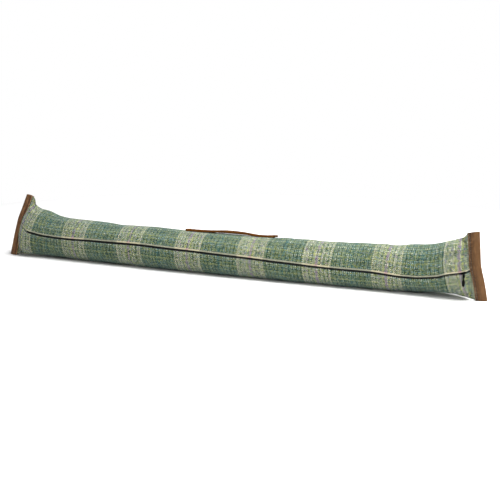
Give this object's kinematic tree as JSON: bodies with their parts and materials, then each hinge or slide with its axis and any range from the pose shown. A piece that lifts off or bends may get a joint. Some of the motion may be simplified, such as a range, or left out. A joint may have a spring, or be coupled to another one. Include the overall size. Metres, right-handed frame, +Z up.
{
  "type": "draught excluder",
  "caption": "Long filled tweed tube that lies on the floor along the foot of a door to stop draughts, with leather-bound ends, a zip and a leather carry strap.",
  "frame": {"origin": "on the floor under the middle of the bounding box", "axes": "+X along the tube towards the end with the zip's slider, -Y towards the zip side, +Z up"},
  "size_m": [0.998, 0.0922, 0.1236],
  "materials": {
    "tweed": "green plaid wool tweed",
    "dark_leather": "dark brown, matt",
    "mid_leather": "mid brown, matt",
    "strap_leather": "chestnut, satin",
    "zip_tape": "black woven tape with closed teeth",
    "black_enamel": "black enamel"
  },
  "bodies": {
    "root": {"filled_tube": "tweed", "end_strip_left": "dark_leather", "end_strip_right": "mid_leather", "carry_strap": "strap_leather", "zip_tape": "zip_tape", "zip_slider": "black_enamel", "zip_pull": "black_enamel"}
  },
  "joints": []
}
